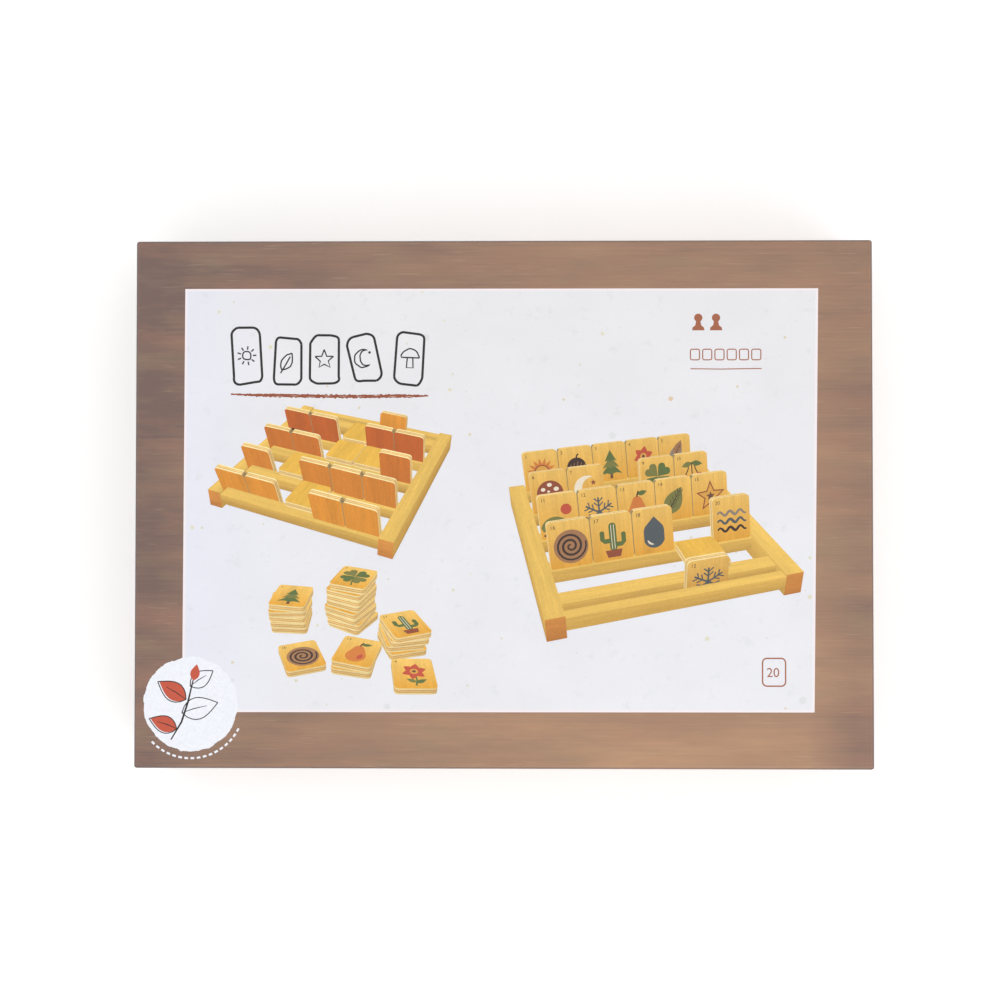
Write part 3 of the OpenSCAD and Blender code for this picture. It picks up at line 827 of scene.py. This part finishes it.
class Picture:
    """A small scene in perspective, pressed almost flat: each solid lies over those that it hides."""

    def __init__(self, azimuth, elevation, distance, target):
        """The eye looks at the target. At azimuth 0 it looks along +Y, and at 90 along -X."""
        turn, rise = math.radians(azimuth), math.radians(elevation)
        level = math.cos(rise)
        toward_eye = Vector((math.sin(turn) * level, -math.cos(turn) * level, math.sin(rise)))
        self.eye = Vector(target) + distance * toward_eye
        self.ahead = -toward_eye
        self.right = self.ahead.cross(UP).normalized()
        self.up = self.right.cross(self.ahead)
        self.sun = (0.8 * UP + 0.6 * toward_eye - 0.5 * self.right).normalized()
        self.solids = []

    def seen(self, point):
        """Where the eye sees a point."""
        away = point - self.eye
        depth = away.dot(self.ahead)
        return away.dot(self.right) / depth, away.dot(self.up) / depth

    def face(self, corners, tints, grains, normal, foot_shade=FOOT_SHADE, lift=0, fill=None):
        """Keeps a face of the last solid if it is turned to the eye, and dims it low down."""
        if (corners[0] - self.eye).dot(normal) >= 0:
            return
        light = SHADE + SUNLIGHT * max(0, normal.dot(self.sun))
        shaded = []
        for corner, tint in zip(corners, tints):
            near_table = 1 - min(1, max(0, corner.z) / FOOT_SHADE_HEIGHT)
            dim = light * (1 - (1 - abs(normal.z)) * foot_shade * near_table)
            shaded.append([c * dim ** power for c, power in zip(tint, WARMTH)])
        self.solids[-1].faces.append(([self.seen(corner) for corner in corners], shaded, grains, lift, fill))

    def box(self, low, high, axis, foot_shade):
        """A piece of timber, its grain along that axis."""
        self.solids.append(Solid((low + high) / 2, AXES, (high - low) / 2, self.seen))
        long_grain = Vector([0.02 if side == axis else 0.5 for side in range(3)])
        ring_lines = Vector((0.05, 0.05, 0.6))
        for index, (point, normal) in enumerate(self.solids[-1].planes):
            side = index // 2
            across, up = [other for other in range(3) if other != side]
            corners = []
            for right, top in ((0, 0), (1, 0), (1, 1), (0, 1)):
                corner = point.copy()
                corner[across] = (low, high)[right][across]
                corner[up] = (low, high)[top][up]
                corners.append(corner)
            stretch, tint = (ring_lines, END_GRAIN) if side == axis else (long_grain, RAIL_WOOD)
            grains = [tuple(corner * stretch + 7.0 * low) for corner in corners]
            self.face(corners, [tint] * 4, grains, normal, foot_shade)

    def tile(self, middle, across, up, number=None, seed=0, back=PLY_BACK, beside=(), foot=0):
        """A tile whose printed face has its middle there. across and up are unit vectors along that face.

        beside holds -1 and 1 where another tile stands close on that side, so that the gap is dark. The foot
        is how much of the tile is out of sight in its groove.
        """
        normal = across.cross(up)
        halves = (TILE_W / 2, TILE_H / 2, TILE_T / 2)
        self.solids.append(Solid(middle - normal * halves[2], (across, up, normal), halves, self.seen))
        whole = rounded(-halves[0], -halves[1], halves[0], halves[1], TILE_CORNER, 3)
        outline = [(u, max(v, foot - halves[1])) for u, v in whole]

        def at(u, v, depth):
            return middle + across * u + up * v - normal * depth

        def veneer(ring, depth, tints, way):
            grains = [(0.45 * u + 31 * seed, 0.02 * v, 9 * depth / TILE_T) for u, v in ring]
            self.face([at(u, v, depth) for u, v in ring], tints, grains, way)

        veneer(outline, 0, [blended(PLY_FACE, PLY_FACE_FOOT, 0.5 - v / TILE_H) for _, v in outline], normal)
        veneer(outline[::-1], TILE_T, [back] * len(outline), -normal)
        for (u0, v0), (u1, v1) in zip(outline, outline[1:] + outline[:1]):
            outward = (across * (v1 - v0) - up * (u1 - u0)).normalized()
            light = GAP_SHADE if round(outward.dot(across)) in beside else 1
            for inner, outer, tint in PLIES:
                depths = ((u0, v0, inner), (u0, v0, outer), (u1, v1, outer), (u1, v1, inner))
                corners = [at(u, v, depth * TILE_T) for u, v, depth in depths]
                grains = [(0.06 * (u + v) + 13 * seed, 3 * depth, 0) for u, v, depth in depths]
                self.face(corners, [[light * c for c in tint[:3]]] * 4, grains, outward, EDGE_FOOT_SHADE)
        if number:
            shapes = TILE_PICTURES[number - 1]
            for (points, tint, *fill), rise in zip(shapes, rises(shapes)):
                self.face([at(u, v, 0) for u, v in points], [tint] * len(points), None, normal,
                          lift=DRAWN_RISE * (INK_STEP + rise), fill=fill[0] if fill else None)

    def hides(self, one, other):
        """Whether one solid may hide the other: their views meet, and it is on the eye's side of a plane."""
        x0, x1, y0, y1 = one.view
        other_x0, other_x1, other_y0, other_y1 = other.view
        if x0 >= other_x1 or x1 <= other_x0 or y0 >= other_y1 or y1 <= other_y0:
            return False
        nearer = []
        for inside, outside in ((one, other), (other, one)):
            for point, normal in inside.planes:
                if all((corner - point).dot(normal) > -SUNK for corner in outside.corners):
                    nearer.append(outside if (self.eye - point).dot(normal) > 0 else inside)
        return one in nearer and other not in nearer

    def back_to_front(self):
        """The solids in drawing order, each laid over those that it hides."""
        hidden = {solid: [other for other in self.solids if other is not solid and self.hides(solid, other)]
                  for solid in self.solids}
        waiting = list(self.solids)
        ordered = []
        while waiting:
            ready = (solid for solid in waiting if all(other in ordered for other in hidden[solid]))
            solid = next(ready, waiting[0])
            waiting.remove(solid)
            solid.rise = max([other.top() for other in hidden[solid] if other in ordered], default=0)
            ordered.append(solid)
        return ordered

    def press(self, name, x0, x1, y_middle):
        """Lays the picture on the lid's panel between x0 and x1, with its middle at that height."""
        places = [place for solid in self.solids for seen, *_ in solid.faces for place in seen]
        left, right = span(places, 0)
        bottom, top = span(places, 1)
        size = (x1 - x0) / (right - left)
        y0 = y_middle - size * (top - bottom) / 2
        picture = Print()
        for solid in self.back_to_front():
            for seen, tints, grains, lift, fill in solid.faces:
                flat = [(x0 + size * (x - left), y0 + size * (y - bottom)) for x, y in seen]
                if fill or abs(area(flat)) >= SLIVER:
                    picture.slab(flat, on_panel, INK_UP + solid.rise + lift, tints, grains, fill)
        picture.piece(name, "lid", "wrap_print")


LEAN = math.radians(15)
# How far a piled tile lies off its place, and the degrees it is turned by, at most.
STACK_SLIP, STACK_TURN = 2.2, 7
RACK_LOW = node_box("upper_left_rail")[0]
# The rack's pieces of timber, each with the axis that its grain runs along.
RACK_NODES = {"left_rail": 1, "right_rail": 1, "front_bar": 0, "slot_bar": 0,
              "row_bar_1": 0, "row_bar_2": 0, "row_bar_3": 0, "row_bar_4": 0}
PIVOTS = {joint["child"]: Vector(joint["pos_m"]) / MM
          for joint in frame["joints"] if joint["type"] == "hinge"}


def draw_rack(picture, lying):
    """Draws a rack of tiles at their real sizes, these lying. They are numbered from the back row's left."""
    for node, axis in RACK_NODES.items():
        low, high = node_box("upper_" + node)
        outer = "rail" in node or node in ("front_bar", "row_bar_4")
        picture.box(low - RACK_LOW, high - RACK_LOW, axis, FOOT_SHADE if outer else INNER_SHADE)
    up = Vector((0, math.sin(LEAN), math.cos(LEAN)))
    for number in range(1, RACK_ROWS * RACK_COLUMNS + 1):
        node = f"upper_tile_{number:02d}"
        low, high = node_box(node)
        middle = (low + high) / 2 - RACK_LOW
        if number in lying:
            middle.z = low.z - RACK_LOW.z
            picture.tile(middle, AXES[0], -AXES[1], seed=number, back=PLY_LYING)
            continue
        lip = PIVOTS[node] - RACK_LOW
        lip.x = middle.x
        foot = high.y - PIVOTS[node].y
        row, column = divmod(number - 1, RACK_COLUMNS)
        beside = [side for side in (-1, 1)
                  if 0 <= column + side < RACK_COLUMNS and number + side not in lying]
        back = blended(PLY_BACK, PLY_BACK_FAR, row / (RACK_ROWS - 1))
        picture.tile(lip + up * (TILE_H / 2 - foot), AXES[0], up, number, number, back, beside, foot)


def draw_secret_tile(picture, x, number):
    """The tile that stands between the front bar and the slot bar."""
    front_high = node_box("upper_front_bar")[1] - RACK_LOW
    picture.tile(Vector((x, front_high.y + 1, TILE_H / 2 + 1)), AXES[0], UP, number, seed=40)


def draw_stack(picture, x, y, count, turn, number, chance):
    """Loose tiles piled face up, each slipped and turned a little."""
    for level in range(count):
        angle = math.radians(turn + chance.uniform(-STACK_TURN, STACK_TURN) * (count > 1))
        across = Vector((math.cos(angle), math.sin(angle), 0))
        middle = Vector((x + chance.uniform(-STACK_SLIP, STACK_SLIP),
                         y + chance.uniform(-STACK_SLIP, STACK_SLIP), TILE_T + level * TILE_STEP))
        top_number = number if level == count - 1 else None
        picture.tile(middle, across, UP.cross(across), top_number, seed=50 + level + x)


def front_rack_picture():
    picture = Picture(azimuth=-17, elevation=31, distance=640, target=(120, 120, 20))
    draw_rack(picture, lying=(8, 19))
    draw_secret_tile(picture, 150, 12)
    picture.press("lid_print_front_rack", 3, 152, -17)


def back_rack_picture():
    picture = Picture(azimuth=204, elevation=33, distance=700, target=(120, 120, 10))
    draw_rack(picture, lying=(3, 9, 12, 13, 18))
    draw_secret_tile(picture, 84, 5)
    picture.press("lid_print_back_rack", -150, -26, 11)


def stacks_picture():
    chance = random.Random(11)
    picture = Picture(azimuth=12, elevation=34, distance=520, target=(70, 30, 0))
    for x, y, count, turn, number in ((0, 62, 5, 8, 3), (66, 78, 8, -16, 9), (128, 44, 4, 24, 17),
                                      (30, -6, 1, 30, 16), (86, 4, 2, -8, 13), (146, -14, 1, 12, 4)):
        draw_stack(picture, x, y, count, turn, number, chance)
    picture.press("lid_print_tile_stacks", -119, -33, -64)


# ---------------- the lid's print

SKETCH_FOOT = 61.0
BRUSH_X0, BRUSH_X1, BRUSH_Y = -138.5, -37.9, 55.7
BRUSH_STEPS, STREAKS = 170, 9
DISC_X, DISC_Y, DISC_R = -158.3, -101.6, 23.9
DASHES = 17


def drawn_by_hand(outline, size, seed, scale=0.16):
    """The outline with the slow shake of a hand in it."""
    def shake(x, y, part):
        return size * noise.noise(Vector((x * scale, y * scale, seed + 9.7 * part)))
    return [(x + shake(x, y, 0), y + shake(x, y, 1)) for x, y in outline]


def sketched_motifs():
    """For each sketched tile, a closed line and open ones, about the tile's middle."""
    sun_rays = [[(r * math.cos(a), r * math.sin(a)) for r in (3.1, 4.9)]
                for a in (math.tau * ray / 9 for ray in range(9))]
    moon = arc(-0.6, 0, 4.4, 62, 298, 16) + arc(1.5, 0, 3.8, 282, 78, 14)
    return ((ellipse(0, 0, 2.1, 2.1, 20), sun_rays),
            (petal(-2.6, -4.6, 10, 5.6, 62), [[(-3.4, -6.4), (-0.6, -1.4), (1.2, 2.2)]]),
            (star(0, 0, 5.0, 2.2), []),
            (moon, [[(2.6, 2.4), (3.9, 2.4)], [(3.25, 1.75), (3.25, 3.05)]]),
            (arc(0, 0.4, 4.6, 0, 180, 14), [[(-1.4, 0.4), (-1.7, -4.6), (1.7, -4.6), (1.4, 0.4)]]))


def sketched_tiles():
    """A row of tiles sketched with a thin pen."""
    shapes = []
    tiles = ((-137, 14.5, 28, 3), (-117, 14, 24, -2), (-98, 14.5, 24.5, 1), (-75, 14, 23.5, 12),
             (-55, 14.5, 26, -2))
    for index, ((x, width, height, tilt), (loop, lines)) in enumerate(zip(tiles, sketched_motifs())):
        rim = shifted(rounded(0, 0, width, height, width * 0.24, 6), x, SKETCH_FOOT, tilt=tilt)
        shapes += drawn_loop(drawn_by_hand(rim, 1.3, 3.1 * index), 1.2, CHARCOAL)
        middle = shifted([(width / 2, height / 2)], x, SKETCH_FOOT, tilt=tilt)[0]
        drawn = drawn_by_hand(shifted(loop, *middle, tilt=tilt), 0.5, 20 + index, 0.4)
        shapes += drawn_loop(drawn, 0.7, CHARCOAL)
        shapes += [(stroke(shifted(line, *middle, tilt=tilt), 0.7), CHARCOAL) for line in lines]
    return shapes


def brush_stroke():
    """A dry brush stroke: ragged on both sides, thin at its start, with bare streaks towards its end."""
    upper, lower = [], []
    for step in range(BRUSH_STEPS + 1):
        part = step / BRUSH_STEPS
        x = BRUSH_X0 + (BRUSH_X1 - BRUSH_X0) * part
        middle = BRUSH_Y - 1.1 * math.sin(part * 2.4) + 0.25 * noise.noise(Vector((x * 0.06, 0, 0)))
        body = 0.45 + 0.62 * min(1, part * 5) * min(1, (1 - part) * 9)
        upper.append((x, middle + body * (0.8 + 0.75 * noise.noise(Vector((x * 0.75, 3, 0))))))
        lower.append((x, middle - body * (0.8 + 0.75 * noise.noise(Vector((x * 0.85, 8, 0))))))
    streaks = []
    for index in range(STREAKS):
        x = BRUSH_X0 + 22 + index * 8.3
        y = BRUSH_Y - 1.0 + 0.32 * math.sin(index * 2.3)
        streak = stroke([(x, y), (x + 2.2, y - 0.08), (x + 4.6, y + 0.05)], 0.22, 0.9)
        streaks.append((streak, srgb(226, 206, 196)))
    return [(lower + upper[::-1], RUST)] + streaks


def pawn(x, y):
    body = [(-3.1, 0), (3.1, 0), (2.9, 1.4), (1.5, 2.6), (1.0, 5.2), (-1.0, 5.2), (-1.5, 2.6), (-2.9, 1.4)]
    return [(shifted(body, x, y), MARK_INK), (ellipse(x, y + 6.4, 2.1, 2.1, 20), MARK_INK)]


def player_marks():
    """Two pawns over a row of small tiles and a thin line."""
    shapes = pawn(99, 88) + pawn(108, 88)
    for index in range(6):
        x = 95 + 6.2 * index
        shapes += drawn_loop(rounded(x, 73, x + 4.6, 78.4, 0.9, 3), 0.55, MARK_INK)
    return shapes + [(stroke([(95, 68.5), (110, 68.3), (131, 68.6)], 0.5), MARK_INK)]


def count_mark():
    """A small tile with the plain number of tiles in a rack."""
    frame_line = drawn_loop(rounded(131, -92, 142.6, -78, 2.2, 5), 0.7, MARK_INK)
    return frame_line + [number_shape("20", 6.6, 133, -87.4, MARK_INK)]


def sprig_disc():
    """A torn-edged white disc with a sprig on it, and a row of dashes on an arc below."""
    x, y = DISC_X, DISC_Y
    torn = drawn_by_hand(drawn_by_hand(ellipse(x, y, DISC_R, DISC_R, 240), 0.9, 5, 0.22), 0.35, 9, 1.1)
    stem = [(x - 10, y - 18), (x - 4.6, y - 9), (x - 1.4, y + 1), (x + 1.4, y + 13)]
    shapes = [(torn, WHITE), (stroke(stem, 1.0, 0.4), CHARCOAL)]
    for part, tilt, length, filled in ((0, 160, 15, True), (0.3, 16, 19, False), (0.55, 148, 17, True),
                                       (0.8, 34, 14, False)):
        foot = (x - 7 + 8.4 * part, y - 12.5 + 27 * part)
        if filled:
            shapes.append((petal(*foot, length * 0.97, length * 0.52, tilt - 2), TERRACOTTA))
        shapes += drawn_loop(petal(*foot, length, length * 0.58, tilt), 0.5, CHARCOAL)
        tip = shifted([(0.7 * length, 0)], *foot, tilt=tilt)[0]
        bend = ((foot[0] + tip[0]) / 2, (foot[1] + tip[1]) / 2 + 0.4)
        shapes.append((stroke([foot, bend, tip], 0.5, 0.5), CHARCOAL))
    shapes.append((petal(x + 1.4, y + 12, 8.4, 4.8, 78), TERRACOTTA))
    for index in range(DASHES):
        angle = 224 + 6.6 * index
        shapes.append((stroke(arc(x, y, DISC_R + 3.4, angle, angle + 3.9, 4), 1.05), WHITE))
    return shapes


def lid_print():
    """Everything printed on the lid's top."""
    panel = Print()
    panel.slab(PANEL, on_lid, PANEL_UP, [WHITE[:3]] * len(PANEL))
    panel.piece("lid_print_panel", "lid", "wrap_print", panel_paper())
    for name, shapes in (("sketched_tiles", sketched_tiles()), ("brush_stroke", brush_stroke()),
                         ("players", player_marks()), ("tile_count", count_mark()),
                         ("sprig_disc", sprig_disc())):
        ink = Print()
        ink.shapes(shapes, on_panel)
        ink.piece("lid_print_" + name, "lid", "wrap_print")
    front_rack_picture()
    back_rack_picture()
    stacks_picture()


# ---------------- the tiles' print

def tile_print(node, faces):
    """Prints a node's tiles. Each face has its number, its middle, and 1 if it looks up or -1 if down."""
    ink = Print()
    for number, x, y, z, way in faces:
        def place(u, v, rise):
            return (x + u, y + way * v, z + way * rise)

        ink.shapes(TILE_PICTURES[number - 1], place)
    ink.piece(node + "_print", node, "tile_plywood")


def tile_prints():
    """A picture and a number on each tile: racked tiles have theirs below, and loose ones above."""
    columns = []
    for number in range(1, RACK_ROWS * RACK_COLUMNS + 1):
        node = f"upper_tile_{number:02d}"
        low, high = node_box(node)
        columns.append(low.x + TILE_W / 2)
        tile_print(node, [(number, columns[-1], (low.y + high.y) / 2, low.z, -1)])
    for row in range(RACK_ROWS):
        node = f"lower_tile_row_{row + 1}"
        low, high = node_box(node)
        first = RACK_COLUMNS * row
        tile_print(node, [(index + 1, columns[index], (low.y + high.y) / 2, low.z, -1)
                          for index in range(first, first + RACK_COLUMNS)])
    for cell in range(BAY_CELLS):
        node = f"guess_tiles_{cell + 1}"
        low, high = node_box(node)
        faces = []
        for layer in range(BAY_LAYERS):
            for side, x in enumerate((low.x + TILE_W / 2, high.x - TILE_W / 2)):
                number = 2 * (BAY_LAYERS * cell + layer) + side + 1
                faces.append((number, x, (low.y + high.y) / 2, low.z + TILE_T + layer * TILE_STEP, 1))
        tile_print(node, faces)


# ---------------- the leaflet's print

def leaflet_print():
    """The rules as plain drawings: a brown band, and steps numbered 1 to 4 with tiles up and down."""
    low, high = node_box("rules_leaflet")
    width, depth = high.x - low.x, high.y - low.y
    margin = 7
    shapes = [(rounded(margin, depth - 30, width - margin, depth - margin, 2, 3), BROWN)]
    for index, tint in enumerate((CREAM, CREAM, CREAM, AMBER, CREAM)):
        x = margin + 8 + 15.4 * index
        shapes.append((rounded(x, depth - 26, x + 11, depth - 12, 1.6, 3), tint))
    for step in range(4):
        top = depth - 42 - 40 * step
        shapes.append((ellipse(margin + 5, top - 3, 4.2, 4.2, 24), RUST))
        shapes.append(number_shape(str(step + 1), 5.8, margin + 3.4, top - 5.1, CREAM))
        for line in range(3):
            y = top - 2 - 4.6 * line
            shapes.append((stroke([(margin + 13, y), (width - margin - 8 * line, y)], 0.7), STONE))
        for tile in range(4):
            x = margin + 14 + 17 * tile
            down = (tile + step) % 3 == 0
            foot, head = (top - 26, top - 21) if down else (top - 31, top - 17)
            shapes += drawn_loop(rounded(x, foot, x + 12, head, 1.4, 3), 0.6, UMBER)
            if not down:
                shapes.append((ellipse(x + 6, top - 24, 2.8, 2.8, 16), TERRACOTTA if tile % 2 else OLIVE))

    def place(u, v, rise):
        return (low.x + u, low.y + v, high.z + rise)

    ink = Print()
    ink.shapes(shapes, place)
    ink.piece("rules_leaflet_print", "leaflet", "leaflet_paper")


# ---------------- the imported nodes' finishes

def dress(node, material, soften=0.0):
    """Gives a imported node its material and, for wood, edges sanded round by that many millimetres."""
    piece = frame["nodes"][node]
    piece.data.materials.clear()
    piece.data.materials.append(material)
    if soften:
        weld = piece.modifiers.new("weld", "WELD")
        weld.merge_threshold = 0.001 * MM
        flat = piece.modifiers.new("flat_faces", "DECIMATE")
        flat.decimate_type = "DISSOLVE"
        flat.angle_limit = math.radians(0.5)
        edge = piece.modifiers.new("sanded_edges", "BEVEL")
        edge.width = soften * MM
        edge.segments = 2
        edge.limit_method = "ANGLE"
        edge.angle_limit = math.radians(40)
        edge.harden_normals = True


def dress_box():
    wrap = printed_wood()
    board = greyboard()
    for node in ("lid_wrap", "tray_wrap"):
        dress(node, wrap)
    for node in ("lid_board", "tray_board", "bay_divider", "bay_partitions"):
        dress(node, board)
    dress("rules_leaflet", leaflet_paper())


def dress_racks():
    """Each bar and rail is cut from another place in the tree."""
    steel = screw_steel()
    chance = random.Random(5)
    for rack in ("upper", "lower"):
        for part, axis in RACK_NODES.items():
            node = f"{rack}_{part}"
            low, high = node_box(node)
            pith = (low + high) / 2 + Vector([chance.uniform(-70, 70) for _ in range(3)])
            pith.z = low.z - chance.uniform(12, 60)
            dress(node, timber(node + "_wood", axis, pith), soften=0.6)
        dress(rack + "_screws", steel)
        dress(rack + "_dowels", timber(rack + "_dowel_wood", 0, (0, 0, 0)))


def dress_tiles():
    """A seed from the node's name shifts its veneer. Some nodes share a seed, so a figure can repeat."""
    for node in sorted(frame["nodes"]):
        if "tile" in node:
            seed = len(node) + sum(map(ord, node)) % 97
            dress(node, plywood(node + "_plywood", node_box(node)[0].z, seed), soften=0.45)


# ---------------- stage, lights and camera

FLOOR_RADIUS = 2.6
COVE_RADIUS = 0.7
WALL_TOP = 1.6
CAMERA_PLACE = (0.0161, -0.0240, 1.0431)
CAMERA_TILT = (1.508, 1.024, 0.032)


def stage():
    """A white floor that curves up into a white wall all round: the photograph's ground is plain white."""
    look = Look("floor")
    colour = look.place.noise(0.02, 3).mix(srgb(228, 228, 228), srgb(232, 232, 232))
    look.finish(colour, 0.9, Emission_Color=(1, 1, 1, 1), Emission_Strength=0.36)
    cove = arc(FLOOR_RADIUS, COVE_RADIUS, COVE_RADIUS, -90, 0, 10)
    profile = [(0, 0)] + cove + [(FLOOR_RADIUS + COVE_RADIUS, WALL_TOP)]
    shape = bmesh.new()
    spine = [shape.verts.new((out, 0, up)) for out, up in profile]
    lines = [shape.edges.new(pair) for pair in zip(spine, spine[1:])]
    bmesh.ops.spin(shape, geom=spine + lines, cent=(0, 0, 0), axis=UP, angle=math.tau, steps=64)
    bmesh.ops.remove_doubles(shape, verts=shape.verts, dist=0.01 * MM)
    for face in shape.faces:
        face.smooth = True
    mesh = bpy.data.meshes.new("floor")
    shape.to_mesh(mesh)
    shape.free()
    mesh.materials.append(look.material)
    floor = placed("floor", mesh)


def softbox(name, place, size, power):
    """A square light that faces the object."""
    light = bpy.data.lights.new(name, "AREA")
    light.energy = power
    light.size = size
    lamp = placed(name, light)
    lamp.location = place
    lamp.rotation_euler = (-Vector(place)).to_track_quat("-Z", "Y").to_euler()


def lights():
    world = bpy.data.worlds.new("studio")
    world.use_nodes = True
    sky = world.node_tree.nodes["Background"].inputs
    sky["Color"].default_value = (1, 1, 1, 1)
    sky["Strength"].default_value = 0.82
    bpy.context.scene.world = world
    bpy.context.scene.view_settings.view_transform = "Standard"
    softbox("key", (1.1, -1.2, 1.3), 1.4, 9)
    softbox("fill", (-1.3, 0.6, 1.1), 1.8, 3)


def camera():
    """Set by fitting the box's four top corners to the photograph: straight above, within two degrees."""
    lens = bpy.data.cameras.new("camera")
    lens.lens = 70
    lens.sensor_width = 36
    eye = placed("camera", lens)
    eye.location = CAMERA_PLACE
    eye.rotation_euler = [math.radians(angle) for angle in CAMERA_TILT]
    bpy.context.scene.camera = eye


dress_box()
dress_racks()
dress_tiles()
lid_print()
tile_prints()
leaflet_print()
stage()
lights()
camera()
